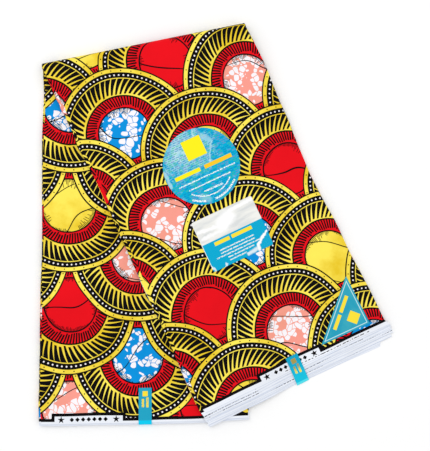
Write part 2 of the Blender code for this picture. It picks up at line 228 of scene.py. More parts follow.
# The camera, over the middle of the cloth and tilted a little, as the photograph was taken
FRAME_HEIGHT = 451
FOCAL = 754.8
CAMERA_DISTANCE = 1.2
CAMERA_TILT = -0.0553
CAMERA_TURN = 0.06917
VIEW_CENTRE = Vector((-0.00581, -0.00551, 0))
SENSOR = 36

# The floor and the light. A soft box's columns: name, place, size and power
FLOOR_HALF = 4.0
FLOOR_ROUGHNESS = 0.9
PURE_WHITE = "FFFFFF"
SKY_STRENGTH = 0.80
SOFT_BOXES = (("key", (-0.9, 0.7, 1.9), 1.4, 11.0), ("fill", (1.2, -0.6, 1.7), 1.6, 4.0))

# The pieces' own maps: the cloth's places on its flat cut, and a label's on its half of the strip
CUT_MAP = "cut"
FACE_MAP = "face"


def mix(start, end, share):
    """The value that lies a share of the way from start to end."""
    return start + (end - start) * share


def ease(share):
    """A share eased at both ends, 0 below 0 and 1 above 1."""
    share = np.clip(share, 0, 1)
    return share * share * (3 - 2 * share)


def softened(table, distance):
    """A table's value at a distance, averaged over a short stretch so that its corners are round."""
    offsets = np.linspace(-EDGE_SOFTNESS, EDGE_SOFTNESS, EDGE_SAMPLES)
    return np.mean([np.interp(distance + offset, table[:, 0], table[:, 1]) for offset in offsets], axis=0)


def in_plan(across, along, across_direction, along_direction):
    """The plan point of a half of the strip: across and along sizes from the axis's left end."""
    return AXIS_LEFT_END + across[..., None] * across_direction + along[..., None] * along_direction


def settled(plan, height):
    """Points at plan and height, with each height scaled by the swells and creases of the stack there."""
    share = sum(
        size * np.sin(
            2 * math.pi * (plan[..., 0] * math.cos(turn) + plan[..., 1] * math.sin(turn)) / length + start
        )
        for length, turn, start, size in SWELLS
    )
    for across, along, to_across, to_along, width, size in CREASES:
        start = in_plan(np.array(across * MM), np.array(along * MM), FRONT_ACROSS, FRONT_ALONG)
        end = in_plan(np.array(to_across * MM), np.array(to_along * MM), FRONT_ACROSS, FRONT_ALONG)
        run = end - start
        place = np.clip((plan - start) @ run / (run @ run), 0, 1)
        away = np.linalg.norm(plan - start - place[..., None] * run, axis=-1) / (width * MM)
        share = share + size * np.exp(-away ** 2) * np.sqrt(np.sin(math.pi * mix(*CREASE_WAVE, place)))
    return np.concatenate((plan, (height * (1 + share))[..., None]), axis=-1)


def back_points(across, along, depth):
    """The back half lies flat: a point's height is its depth."""
    plan = in_plan(across, along, BACK_ACROSS, BACK_ALONG)
    return settled(plan, np.broadcast_to(depth, across.shape))


def front_points(across, along, depth):
    """The front half lies on the back half, closes its loop and sinks to the floor past the back's edge."""
    plan = in_plan(across, along, FRONT_ACROSS, FRONT_ALONG)
    from_fold = (plan - AXIS_LEFT_END) @ FOLD_NORMAL
    past_edge = (plan - AXIS_LEFT_END) @ BACK_ACROSS - STRIP_WIDTH
    closing = (LOOP_HEIGHT - REST_GAP) * ease(from_fold / LOOP_CLOSES)
    drape = (STACK + REST_GAP) * ease((past_edge - DRAPE_START) / DRAPE_RUN)
    return settled(plan, 2 * AXIS_HEIGHT - depth - closing - drape)


def fold_points(across, turn, depth):
    """Round the fold each layer is half a circle about the axis. The turn is 0 below and 1 above."""
    radius = AXIS_HEIGHT - depth
    angle = math.pi * turn
    plan = AXIS_LEFT_END + (across / math.cos(FOLD_SKEW))[..., None] * FOLD_LINE
    plan = plan - (radius * np.sin(angle))[..., None] * FOLD_NORMAL
    return settled(plan, AXIS_HEIGHT - radius * np.cos(angle))


def front_reach(depth):
    """A layer further out goes round a larger half circle, so it ends that much short."""
    return FRONT_LENGTH - math.pi * (STACK - depth)


def edge_inset(side, fold, position):
    """How far inside the strip a fold of the accordion lies. A position on the back half is negative."""
    distance = abs(position)
    back_table = BACK_LEFT_EDGE if side == "left" else BACK_RIGHT_EDGE
    front_table = FRONT_LEFT_EDGE if side == "left" else FRONT_RIGHT_EDGE
    column = 0 if side == "left" else 2
    steps = FOLD_STEPS[fold] * MM
    on_front = ease(position / (2 * END_BORDER) + 0.5)
    starts = ease(position / OUTER_STEP_STARTS) if fold == 0 and side == "left" else on_front
    inset = mix(softened(back_table, distance), softened(front_table, distance), on_front)
    inset = inset + mix(steps[column], steps[column + 1], starts)
    if side == "right":
        inset = inset + FOLD_STEPS[fold, 4] * softened(SLIDE, distance) * on_front
    length = UNEVEN_LENGTH + UNEVEN_LENGTH_STEP * math.sin(fold)
    wave = UNEVEN * np.sin(2 * math.pi * position / length + UNEVEN_TURN * fold)
    if side == "left" and fold < PUCKERED_FOLDS:
        start, end = PUCKER_RANGE
        inside = np.sin(math.pi * np.clip((position - start) / (end - start), 0, 1)) ** 2
        wave = wave + PUCKER * inside * np.sin(2 * math.pi * position / PUCKER_LENGTH + PUCKER_TURN * fold)
    return inset + wave


def layer_columns(layer, position):
    """Across sizes, depths and cut positions of a layer's columns, for each row's position along the strip.

    Columns run from the layer's start to the fold that ends it: shared columns in the middle, so that all
    layers bend alike, then some that share out the border, then half a circle about the fold's centre.
    """
    depth = (layer + 0.5) * LAYER_STEP
    radius = LAYER_STEP / 2 * NOSE_ROUNDNESS
    left = edge_inset("left", (layer + 1) // 2, position) + radius
    right = STRIP_WIDTH - edge_inset("right", layer // 2 + layer % 2, position)
    shares = np.linspace(0, 1, BORDER_COLUMNS + 1, endpoint=False)
    shared = np.linspace(LEFT_BORDER, STRIP_WIDTH - RIGHT_BORDER, COLUMNS)
    near_left = mix(left[:, None], shared[0], shares)
    near_right = mix(right[:, None] - radius, shared[-1], shares)[:, ::-1]
    middle = np.broadcast_to(shared, (len(position), COLUMNS))
    across = np.concatenate((near_left, middle, near_right), axis=1)
    depths = np.full(across.shape, depth)
    even = layer % 2 == 0
    start_side, end_side = (-1, 0) if even else (0, -1)
    if layer > 0:
        depths[:, start_side] = layer * LAYER_STEP + radius
    if layer < LAYERS - 1:
        depths[:, end_side] = (layer + 1) * LAYER_STEP - radius
    if even:
        across, depths = across[:, ::-1], depths[:, ::-1]
    cut = layer * STRIP_WIDTH + (STRIP_WIDTH - across if even else across)
    if layer < LAYERS - 1:
        angle = math.pi * np.arange(1, NOSE_TURNS + 1) / NOSE_TURNS
        outward = -1 if even else 1
        nose = across[:, -1:] + outward * radius * np.sin(angle)
        nose_depth = (layer + 1) * LAYER_STEP - radius * np.cos(angle)
        across = np.concatenate((across, nose), axis=1)
        depths = np.concatenate((depths, np.broadcast_to(nose_depth, nose.shape)), axis=1)
        cut = np.concatenate((cut, cut[:, -1:] + radius * angle), axis=1)
    return across, depths, cut


def layer_end(half, layer, across):
    """How far a layer's selvedge lies beyond a square end: the half's turn, its own turn and a slow wave."""
    turn = LAYER_TURN * math.sin(LAYER_TURN_STEP * layer + LAYER_TURN_START) * (across - STRIP_WIDTH / 2)
    wave = END_UNEVEN * np.sin(2 * math.pi * across / END_UNEVEN_LENGTH + UNEVEN_TURN * layer)
    if half == "back":
        return np.interp(across, BACK_TURN[:, 0], BACK_TURN[:, 1]) - turn - wave
    share = mix(OUTER_TURN_SHARE, 1, layer / (LAYERS - 1))
    return share * np.interp(across, FRONT_TURN[:, 0], FRONT_TURN[:, 1]) + turn + wave


def turned_share(reach, along):
    """How much of a selvedge's turn the print takes: all of it at the selvedge, none further in."""
    return ease(1 - (reach - along) / TURN_REACH)


def back_grid(layer):
    """Rows of the back half, from its selvedge to the fold's axis: points and cut positions."""
    border = BACK_LENGTH - END_BORDER
    shares = np.linspace(0, 1, BACK_ROWS)
    ends = np.linspace(0, 1, END_ROWS, endpoint=False)
    position = -np.concatenate((mix(BACK_LENGTH, border, ends), border * (1 - shares)))
    across, depth, cut = layer_columns(layer, position)
    beyond = layer_end("back", layer, across)
    reach = BACK_LENGTH - LAYER_SHIFTS[layer]
    ending = mix(reach + beyond[:END_ROWS], border, ends[:, None])
    slanting = mix(border, -across[END_ROWS:] * math.tan(FOLD_SKEW), shares[:, None])
    along = np.concatenate((ending, slanting))
    over = reach - along + beyond * turned_share(reach, along)
    return back_points(across, along, depth), np.stack((cut, over), axis=-1)


def fold_grid(layer):
    """Rows round the fold, without its two ends: points and cut positions."""
    turn = (np.arange(1, FOLD_TURNS) / FOLD_TURNS)[:, None]
    across, depth, cut = layer_columns(layer, np.zeros(FOLD_TURNS - 1))
    radius = AXIS_HEIGHT - (layer + 0.5) * LAYER_STEP
    over = BACK_LENGTH - LAYER_SHIFTS[layer] + across * math.tan(FOLD_SKEW) + math.pi * radius * turn
    return fold_points(across, turn, depth), np.stack((cut, over), axis=-1)


def front_grid(layer):
    """Rows of the front half, from the fold's axis to its selvedge, closest together near the fold."""
    border = FRONT_LENGTH - END_BORDER
    share = np.linspace(0, 1, FRONT_ROWS)
    shares = mix(share, share ** 2, ROW_CROWDING)
    ends = np.linspace(0, 1, END_ROWS + 1)[1:]
    position = np.concatenate((border * shares, mix(border, FRONT_LENGTH, ends)))
    across, depth, cut = layer_columns(layer, position)
    beyond = layer_end("front", layer, across)
    reach = front_reach((layer + 0.5) * LAYER_STEP) + LAYER_SHIFTS[layer]
    slanting = mix(across[:FRONT_ROWS] * math.tan(FOLD_SKEW), border, shares[:, None])
    ending = mix(border, reach + beyond[FRONT_ROWS:], ends[:, None])
    along = np.concatenate((slanting, ending))
    over = CLOTH_WIDTH - (reach - along + beyond * turned_share(reach, along))
    return front_points(across, along, depth), np.stack((cut, over), axis=-1)


def surface(name, points, positions, map_name, thickness):
    """An object from a grid of points, with the grid's flat positions as its map and a thin wall."""
    rows, columns = points.shape[:2]
    index = np.arange(rows * columns).reshape(rows, columns)
    corners = (index[:-1, :-1], index[:-1, 1:], index[1:, 1:], index[1:, :-1])
    faces = np.stack(corners, axis=-1).reshape(-1, 4)
    return shell(name, points.reshape(-1, 3), faces, positions.reshape(-1, 2), map_name, thickness)


def shell(name, points, faces, positions, map_name, thickness):
    """An object from points and faces, mapped by the points' flat positions and given a thin wall."""
    mesh = bpy.data.meshes.new(name)
    mesh.from_pydata(points, [], faces.tolist())
    layer = mesh.uv_layers.new(name=map_name)
    corners = np.zeros(len(mesh.loops), dtype=np.int32)
    mesh.loops.foreach_get("vertex_index", corners)
    layer.uv.foreach_set("vector", positions[corners].astype(np.float32).ravel())
    made = bpy.data.objects.new(name, mesh)
    bpy.context.collection.objects.link(made)
    wall = made.modifiers.new("wall", "SOLIDIFY")
    wall.thickness = thickness
    wall.offset = 0
    applied = bpy.data.meshes.new_from_object(made.evaluated_get(bpy.context.evaluated_depsgraph_get()))
    made.modifiers.clear()
    made.data = applied
    bpy.data.meshes.remove(mesh)
    applied.name = name
    applied.shade_smooth()
    applied.set_sharp_from_angle(angle=SHARP_ANGLE)
    return made


def linear(code):
    """A linear colour with full alpha, from sRGB hex."""
    shares = [int(code[place:place + 2], 16) / 255 for place in (0, 2, 4)]
    return (*[s / 12.92 if s <= 0.04045 else ((s + 0.055) / 1.055) ** 2.4 for s in shares], 1)


def add(tree, kind, inputs=(), out=0, stops=(), **settings):
    """Adds a node with its settings, links or sets its inputs by place or name, and returns one output."""
    node = tree.nodes.new("ShaderNode" + kind)
    for name, value in settings.items():
        setattr(node, name, value)
    for place, (position, colour) in enumerate(stops):
        elements = node.color_ramp.elements
        element = elements[place] if place < len(elements) else elements.new(position)
        element.position = position
        element.color = colour
    if stops:
        node.color_ramp.interpolation = "CONSTANT"
    for place, value in inputs.items() if isinstance(inputs, dict) else enumerate(inputs):
        if isinstance(value, bpy.types.NodeSocket):
            tree.links.new(value, node.inputs[place])
        else:
            node.inputs[place].default_value = value
    return node.outputs[out]


def finish(name, look, bump, sockets):
    """A material whose colour and height a look's nodes give. A bump is its strength and distance."""
    made = bpy.data.materials.new(name)
    made.use_nodes = True
    tree = made.node_tree
    shader = tree.nodes["Principled BSDF"]
    colour, height = look(tree)
    tree.links.new(colour, shader.inputs["Base Color"])
    strength, distance = bump
    inputs = {"Strength": strength, "Distance": distance, "Height": height}
    tree.links.new(add(tree, "Bump", inputs), shader.inputs["Normal"])
    for socket, value in sockets.items():
        shader.inputs[socket].default_value = value
    return made


def layered(tree, colour, coats):
    """A colour with further inks laid over it in turn, each through its own mask."""
    for mask, ink in coats:
        colour = add(tree, "Mix", {0: mask, 6: colour, 7: ink}, out=2, data_type="RGBA")
    return colour


def combined(tree, values, operation):
    """Masks or distances brought to one in turn, as their product, the largest or the smallest."""
    whole, *others = values
    for other in others:
        whole = add(tree, "Math", (whole, other), operation=operation)
    return whole


def repeats(tree, value):
    """Which repeat a value lies in, as a whole number, and how far into it, from 0 to 1."""
    return [add(tree, "Math", (value,), operation=operation) for operation in ("FLOOR", "FRACT")]


def from_nearest(tree, value, spacing):
    """How far a value lies from the nearest whole number of spacings."""
    aside = add(tree, "Math", (value, spacing / 2, -spacing / 2), operation="WRAP")
    return add(tree, "Math", (aside,), operation="ABSOLUTE")


def from_middle(tree, across, along):
    """The length of an offset from its two sizes."""
    offset = add(tree, "CombineXYZ", (across, along, 0.0))
    return add(tree, "VectorMath", (offset,), out=1, operation="LENGTH")


def stirred(tree, flat, size, noise):
    """Flat places moved on by up to the size, as a smooth noise says."""
    stir = add(tree, "TexNoise", {"Vector": flat, **noise}, out="Color")
    return add(tree, "VectorMath", (stir, (size,) * 3, flat), operation="MULTIPLY_ADD")


# A Mix node takes its share at input 0, numbers at 2 and 3, vectors at 4 and 5 and colours at 6 and 7, and
# gives a number, a vector or a colour at outputs 0, 1 and 2. In the tables below a noise's scale is in
# repeats a mm, and a range's columns are a value's two ends and what it becomes at each

# The wax print's inks
BLACK = linear("070507")
YELLOW = linear("FFEA5A")
DEEP_YELLOW = linear("F0CB24")
RED = linear("EA0C1A")
BLUE = linear("0592DE")
PINK = linear("F99E90")
WHITE = linear("FBF7FB")
SELVEDGE_WHITE = linear("EEF2FA")
SELVEDGE_THREAD_AND_SHADE = linear("CFD8EA")

# The print: overlapping fans in a half drop, in mm, and how far their outlines wander
FAN_RADIUS = 106
FAN_WIDTH = 212
FAN_ROW = 78
FAN_START = (64, 31)
FAN_WANDER = 13
WANDER_NOISE = {"Scale": 0.008, "Detail": 1}
# The field of each kind of fan, how many kinds each row moves on, and the first kind with white cells
FIELDS = (YELLOW, RED, PINK, BLUE)
KIND_STEP = 2
WAXED_KIND = 2
# The fan's rings from its centre outwards: the radius where each starts, and its ink
FAN_RINGS = (
    (0, BLACK), (42.6, RED), (59.2, BLACK), (61.6, YELLOW), (89.3, BLACK), (98.1, YELLOW), (103.6, BLACK),
)
CORE_RADIUS = 40.4
# Strokes round a ring. Columns: how many in a full circle, ring's inner and outer radius, the share of
# black at each, how far a stroke leans, as a share of the space between two, and how far in the
# shortest of them ends short
STROKES = (
    (58, 62.7, 88.1, 0.46, 0.92, 1.7, 3.4),
    (78, 43.6, 59.2, 0.72, 0.50, -0.8, 4.0),
)
# How much a stroke's width varies, and the least it is, as shares of the width at its place
STROKE_WIDTHS = (0.2, 0.9)
# Fine sketched strokes inside the core's rim: how many in a full circle, their share of black, the
# stretches that have them, with the longest in mm, and the least share of that
SKETCH = (110, 0.5)
SKETCH_NOISE = {"Scale": 0.04, "Detail": 0}
SKETCH_RANGE = (0.42, 0.62, 0.0, 10.0)
SKETCH_LEAST = 0.3
# Dots round a ring. Columns: how many in a full circle, the ring's radius, a dot's radius, its ink
DOTS = ((84, 93.7, 1.3, WHITE), (42, 100.9, 1.0, BLACK))
# The fields' wax cells: their spacing and the space that stirs them, in mm, and as shares of the spacing
# the gap between two and their radius where they are small and large
CELLS = (9.8, 11.5)
CELL_NOISE = {"Scale": 0.7 / CELLS[0], "Detail": 0.5}
CELL_GAP = 0.045
CELL_SPREAD = {"Scale": 0.04, "Detail": 1}
CELL_RANGE = (0.36, 0.58, 0.2, 0.7)
# The fields' veins: their spacing, the space that stirs them and their half width, in mm, and which way
# they follow each other
VEINS = (56.0, 75.0, 0.8)
VEIN_NOISE = {"Scale": 0.011, "Detail": 0.5}
VEIN_DIRECTION = (0.45, 0.9)


def fans(tree, flat):
    """The foremost fan at each flat place: its offset from the fan's centre, and the fan's kind.

    Fans stand in rows, and a lower row lies over those above. The lowest row whose circle can reach the
    place comes first, then the next two, and the first of them that holds the place is kept.
    """
    across, along, _ = add(tree, "SeparateXYZ", (flat,)).node.outputs
    across = add(tree, "Math", (across, FAN_START[0]), operation="ADD")
    up = add(tree, "Math", (FAN_START[1], along), operation="SUBTRACT")
    lowest = add(tree, "Math", (up, FAN_RADIUS), operation="SUBTRACT")
    lowest = add(tree, "Math", (lowest, FAN_ROW), operation="DIVIDE")
    lowest = add(tree, "Math", (lowest,), operation="CEIL")
    kept = None
    for step in (2, 1, 0):
        row = add(tree, "Math", (lowest, step), operation="ADD")
        drop = add(tree, "Math", (row, -FAN_ROW, up), operation="MULTIPLY_ADD")
        slid = add(tree, "Math", (row, FAN_WIDTH / 2, across), operation="MULTIPLY_ADD")
        aside = add(tree, "Math", (slid, FAN_WIDTH / 2, -FAN_WIDTH / 2), operation="WRAP")
        number = add(tree, "Math", (slid, aside), operation="SUBTRACT")
        number = add(tree, "Math", (number, 1 / FAN_WIDTH, 0.5), operation="MULTIPLY_ADD")
        kind = add(tree, "Math", (row, KIND_STEP, number), operation="MULTIPLY_ADD")
        kind = add(tree, "Math", (kind, len(FIELDS), 0), operation="WRAP")
        here = add(tree, "CombineXYZ", (aside, drop, kind))
        if kept is None:
            kept = here
            continue
        holds = add(tree, "Math", (from_middle(tree, aside, drop), FAN_RADIUS), operation="LESS_THAN")
        kept = add(tree, "Mix", {0: holds, 4: kept, 5: here}, out=1, data_type="VECTOR")
    return add(tree, "SeparateXYZ", (kept,)).node.outputs


def crackle(tree, flat):
    """Wax crackle for the fields: rounded cells that the wax kept white, and thin veins over all."""
    spacing, stir = CELLS
    cells = {"Vector": stirred(tree, flat, stir, CELL_NOISE), "Scale": 1 / spacing}
    gaps = add(tree, "TexVoronoi", cells, feature="DISTANCE_TO_EDGE")
    gaps = add(tree, "Math", (gaps, CELL_GAP), operation="GREATER_THAN")
    cells = add(tree, "TexVoronoi", cells)
    spread = add(tree, "TexNoise", {"Vector": flat, **CELL_SPREAD})
    largest = add(tree, "MapRange", (spread, *CELL_RANGE))
    cells = add(tree, "Math", (cells, largest), operation="LESS_THAN")
    cells = add(tree, "Math", (cells, gaps), operation="MULTIPLY")
    spacing, stir, half_width = VEINS
    across, along = VEIN_DIRECTION
    veins = stirred(tree, flat, stir, VEIN_NOISE)
    direction = (across / spacing, along / spacing, 0.0)
    veins = add(tree, "VectorMath", (veins, direction), out=1, operation="DOT_PRODUCT")
    veins = add(tree, "Math", (veins,), operation="FRACT")
    return cells, add(tree, "Math", (veins, 0.5, half_width / spacing), operation="COMPARE")


def strokes(tree, circle, radius, count, inner, outer, black_inside, black_outside, lean, short):
    """Leaning strokes round a ring, each a little wider, thinner or shorter than the next."""
    along = add(tree, "MapRange", (radius, inner, outer, 0.0, 1.0))
    black = add(tree, "MapRange", (radius, inner, outer, black_inside, black_outside))
    place = add(tree, "Math", (circle, count), operation="MULTIPLY")
    place = add(tree, "Math", (along, lean, place), operation="MULTIPLY_ADD")
    number, inside = repeats(tree, place)
    chance = add(tree, "TexWhiteNoise", {"W": number}, noise_dimensions="1D")
    width = add(tree, "Math", (chance, *STROKE_WIDTHS), operation="MULTIPLY_ADD")
    black = add(tree, "Math", (black, width), operation="MULTIPLY")
    stroke = add(tree, "Math", (inside, black), operation="LESS_THAN")
    begins = add(tree, "Math", (chance, short, inner), operation="MULTIPLY_ADD")
    begun = add(tree, "Math", (radius, begins), operation="GREATER_THAN")
    in_ring = add(tree, "Math", (radius, outer), operation="LESS_THAN")
    return combined(tree, (stroke, begun, in_ring), "MULTIPLY")


def sketch(tree, circle, radius, flat):
    """Fine strokes of uneven length from the core's rim inwards, thick in places and none in others."""
    count, black = SKETCH
    place = add(tree, "Math", (circle, count), operation="MULTIPLY")
    number, inside = repeats(tree, place)
    chance = add(tree, "TexWhiteNoise", {"W": number}, noise_dimensions="1D")
    stretch = add(tree, "TexNoise", {"Vector": flat, **SKETCH_NOISE})
    stretch = add(tree, "MapRange", (stretch, *SKETCH_RANGE))
    reach = add(tree, "Math", (chance, SKETCH_LEAST), operation="ADD")
    reach = add(tree, "Math", (reach, stretch), operation="MULTIPLY")
    inwards = add(tree, "Math", (CORE_RADIUS, radius), operation="SUBTRACT")
    reached = add(tree, "Math", (inwards, reach), operation="LESS_THAN")
    stroke = add(tree, "Math", (inside, black), operation="LESS_THAN")
    return add(tree, "Math", (stroke, reached), operation="MULTIPLY")


def dots(tree, circle, radius, count, at_radius, size):
    """A mask of dots evenly spaced round a ring, by how far along and off it a place is from the nearest."""
    place = add(tree, "Math", (circle, count), operation="MULTIPLY")
    place = add(tree, "Math", (place,), operation="FRACT")
    spacing = 2 * math.pi * at_radius / count
    place = add(tree, "Math", (place, spacing, -spacing / 2), operation="MULTIPLY_ADD")
    off = add(tree, "Math", (radius, at_radius), operation="SUBTRACT")
    return add(tree, "Math", (from_middle(tree, place, off), size), operation="LESS_THAN")


def fan_print(tree, flat):
    """The print's colour: rings with strokes and dots about each fan's centre, and a crackled core."""
    aside, drop, kind = fans(tree, stirred(tree, flat, FAN_WANDER, WANDER_NOISE))
    radius = from_middle(tree, aside, drop)
    angle = add(tree, "Math", (aside, drop), operation="ARCTAN2")
    circle = add(tree, "Math", (angle, 1 / (2 * math.pi)), operation="MULTIPLY")

    ring = add(tree, "Math", (radius, 1 / FAN_RADIUS), operation="MULTIPLY")
    colour = add(tree, "ValToRGB", (ring,), stops=[(start / FAN_RADIUS, ink) for start, ink in FAN_RINGS])
    share = add(tree, "Math", (kind, 1 / len(FIELDS)), operation="MULTIPLY")
    stops = [(number / len(FIELDS), ink) for number, ink in enumerate(FIELDS)]
    field = add(tree, "ValToRGB", (share,), stops=stops)
    waxed = add(tree, "Math", (kind, WAXED_KIND - 0.5), operation="GREATER_THAN")
    cells, veins = crackle(tree, flat)
    cells = add(tree, "Math", (cells, waxed), operation="MULTIPLY")
    marks = sketch(tree, circle, radius, flat)
    field = layered(tree, field, ((cells, WHITE), (veins, BLACK), (marks, BLACK)))
    coats = [(add(tree, "Math", (radius, CORE_RADIUS), operation="LESS_THAN"), field)]
    coats += [(strokes(tree, circle, radius, *row), BLACK) for row in STROKES]
    coats += [(dots(tree, circle, radius, *row), ink) for *row, ink in DOTS]
    return layered(tree, colour, coats)


# The selvedges, in mm: the white edge at the start and the end of the cut's width, its black line, the thin
# grey line at its very edge, partly a dense thread and partly painted shade, and the plates where the line
# steps in
SELVEDGES = (4.1, 6.8)
SELVEDGE_LINE = 4.6
SELVEDGE_THREAD_AND_SHADE_WIDTH = 0.5
PLATE_STEP = 8.2
PLATE_HALF = 52.0
PLATE_SPACING = 430.0
# Where a plate's middle lies on the cut's length, in mm, at the start and the end of the cut's width
PLATE_MIDDLES = (5411.4, 166.7)
# A plate's row of stars and diamonds, in mm: how far inside the plate's edge it lies, how far out the
# stars stand and their size, the diamonds' spacing and half width, and how many spacings they fill each way
ROW_INSIDE = 5.4
STAR_OUT = 42.0
STAR_POINTS = 5
STAR_SIZE = 5.9
DIAMOND_SPACING = 8.6
DIAMOND_SIZE = 3.5
DIAMONDS_OUT = 3.5
# The dashes: their noise, the noise that says where they stand and how high theirs must be there, how far
# in their row lies, as a share of the white edge, and its half height in mm
DASH_NOISE = {"Scale": 1 / 3.0, "Detail": 0}
DASHES_APART = {"Scale": 1 / 60.0, "Detail": 0}
DASH_RANGE = (0.48, 0.52, 0.8, 0.47)
DASH_IN = 0.52
DASH_HALF = 0.62


def star(tree, across, up):
    """A mask of a star: how far a place lies towards the nearest side is less than that side's distance."""
    half_turn = math.pi / STAR_POINTS
    angle = add(tree, "Math", (across, up), operation="ARCTAN2")
    angle = from_nearest(tree, angle, 2 * half_turn)
    angle = add(tree, "Math", (angle, half_turn / 2), operation="ADD")
    sine = add(tree, "Math", (angle,), operation="SINE")
    out = add(tree, "Math", (from_middle(tree, across, up), sine), operation="MULTIPLY")
    return add(tree, "Math", (out, STAR_SIZE * math.sin(half_turn / 2)), operation="LESS_THAN")


def selvedges(tree, flat, colour):
    """White edges with a black line that steps round each plate, stars and diamonds on it, dashes, and a
    thin grey line at the very edge that is partly thread and partly painted shade.
    """
    along, down, _ = add(tree, "SeparateXYZ", (flat,)).node.outputs
    width = CLOTH_WIDTH / MM
    far = add(tree, "Math", (down, width / 2), operation="GREATER_THAN")
    other = add(tree, "Math", (width, down), operation="SUBTRACT")
    edge = add(tree, "Math", (down, other), operation="MINIMUM")
    middle = add(tree, "Mix", {0: far, 2: PLATE_MIDDLES[0], 3: PLATE_MIDDLES[1]}, data_type="FLOAT")
    selvedge = add(tree, "Mix", {0: far, 2: SELVEDGES[0], 3: SELVEDGES[1]}, data_type="FLOAT")
    aside = add(tree, "Math", (along, middle), operation="SUBTRACT")
    aside = from_nearest(tree, aside, PLATE_SPACING)

    in_edge = add(tree, "Math", (edge, selvedge), operation="SUBTRACT")
    past = add(tree, "Math", (aside, PLATE_HALF), operation="SUBTRACT")
    over = add(tree, "Math", (in_edge, PLATE_STEP), operation="SUBTRACT")
    in_plate = add(tree, "Math", (past, over), operation="MAXIMUM")
    outline = add(tree, "Math", (in_edge, in_plate), operation="MINIMUM")
    line = add(tree, "Math", (outline, SELVEDGE_LINE), operation="LESS_THAN")
    white = add(tree, "Math", (outline, 0.0), operation="LESS_THAN")

    up = add(tree, "Math", (over, ROW_INSIDE), operation="ADD")
    from_star = add(tree, "Math", (aside, STAR_OUT), operation="SUBTRACT")
    off = add(tree, "Math", (up,), operation="ABSOLUTE")
    corner = add(tree, "Math", (from_nearest(tree, aside, DIAMOND_SPACING), off), operation="ADD")
    diamond = add(tree, "Math", (corner, DIAMOND_SIZE), operation="LESS_THAN")
    between = add(tree, "Math", (aside, DIAMOND_SPACING * DIAMONDS_OUT), operation="LESS_THAN")
    diamond = add(tree, "Math", (diamond, between), operation="MULTIPLY")

    dash = add(tree, "TexNoise", {"Vector": flat, **DASH_NOISE})
    least = add(tree, "TexNoise", {"Vector": flat, **DASHES_APART})
    least = add(tree, "MapRange", (least, *DASH_RANGE))
    dash = add(tree, "Math", (dash, least), operation="GREATER_THAN")
    row = add(tree, "Math", (selvedge, DASH_IN), operation="MULTIPLY")
    row = add(tree, "Math", (edge, row, DASH_HALF), operation="COMPARE")
    dash = combined(tree, (dash, row, far), "MULTIPLY")
    # A thin grey line at the very edge: partly the selvedge's dense thread, partly painted shade between the
    # stacked layers
    thread_and_shade = add(tree, "Math", (edge, SELVEDGE_THREAD_AND_SHADE_WIDTH), operation="LESS_THAN")
    coats = (
        (line, BLACK), (white, SELVEDGE_WHITE), (star(tree, from_star, up), BLACK), (diamond, BLACK),
        (dash, BLACK), (thread_and_shade, SELVEDGE_THREAD_AND_SHADE),
    )
    return layered(tree, colour, coats)


# A random unevenness: its noise, how far it deepens what is yellow, and the tone that it gives every ink
TONE_NOISE = {"Scale": 0.012, "Detail": 5, "Roughness": 0.62}
DEEP_RANGE = (0.43, 0.63, 0.0, 1.25)
TONE_RANGE = (0.3, 0.7, 1.05, 0.92)
# The threads are 0.35 mm apart, drawn at this spacing in mm so that they still show, and a wave texture
# turns 20 radians a unit
THREAD_SPACING = 0.7
WAVE_TURN = 20


def cotton_look(tree):
    """Plain woven cotton: its print, a faint random unevenness of its colour, and its weave as height."""
    flat = add(tree, "UVMap", uv_map=CUT_MAP)
    flat = add(tree, "VectorMath", (flat, (1 / MM,) * 3), operation="MULTIPLY")
    colour = selvedges(tree, flat, fan_print(tree, flat))
    unevenness = add(tree, "TexNoise", {"Vector": flat, **TONE_NOISE})
    deep = add(tree, "MapRange", (unevenness, *DEEP_RANGE))
    _, green, blue = add(tree, "SeparateColor", (colour,)).node.outputs
    yellowness = add(tree, "Math", (green, blue), operation="SUBTRACT")
    deep = add(tree, "Math", (deep, yellowness), operation="MULTIPLY")
    colour = layered(tree, colour, ((deep, DEEP_YELLOW),))
    tone = add(tree, "MapRange", (unevenness, *TONE_RANGE))
    colour = add(tree, "VectorMath", {0: colour, "Scale": tone}, operation="SCALE")
    wave = {"Vector": flat, "Scale": 2 * math.pi / THREAD_SPACING / WAVE_TURN}
    threads = [add(tree, "TexWave", wave, bands_direction=direction) for direction in ("X", "Y")]
    return colour, combined(tree, threads, "MULTIPLY")


def label_place(tree, across, along):
    """Sizes on a label in mm, from a point given by its across and along sizes on its half of the strip."""
    place = add(tree, "UVMap", uv_map=FACE_MAP)
    place = add(tree, "VectorMath", (place, (across, along, 0.0)), operation="SUBTRACT")
    return add(tree, "VectorMath", (place, (1 / MM,) * 3), operation="MULTIPLY")


# The labels' and the bands' inks
TEAL = linear("00AED6")
# Pale ink for the corner label's inner line, also the painted glare and reflection on the round label
PALE_INK_AND_GLARE = linear("C4E8EE")
DASH_BLUE = linear("1181BC")
DASH_GREEN = linear("45B98C")
DASH_VIOLET = linear("7A84BE")
CARD_TEAL = linear("00A9D2")
CARD_WHITE = linear("F1F1EC")
CARD_PAINTED_SHADE = linear("DADDDD")
# Pure white for printed rows, also the painted glare on the labels
WHITE_INK_AND_GLARE = linear(PURE_WHITE)
CORNER_TEAL = linear("38A9BE")
CORNER_PAINTED_SHADE = linear("1C9CBC")
BACK_TEAL = linear("1FA3C4")
BACK_LIP = linear("00CCF2")
FRONT_TEAL = linear("00A3C8")
FRONT_PALE = linear("10C2E0")
FRONT_LIP = linear("52E2F0")
BRIGHT_YELLOW = linear("FFF01E")
INK_YELLOW = linear("FBE23A")
INK_GOLD = linear("FBCB2A")
GOLD = linear("A8974E")

# How far a noise of their own stirs the painted glares, in mm, and the share of a glare's half width that is
# even
GLARE_STIR = (9, 9, 0)
GLARE_NOISE = {"Scale": 0.14, "Detail": 4, "Roughness": 0.65}
GLARE_EVEN = 0.35
# The repeats a mm of a broken row's marks over the row's height
MARK_REPEATS = 0.8


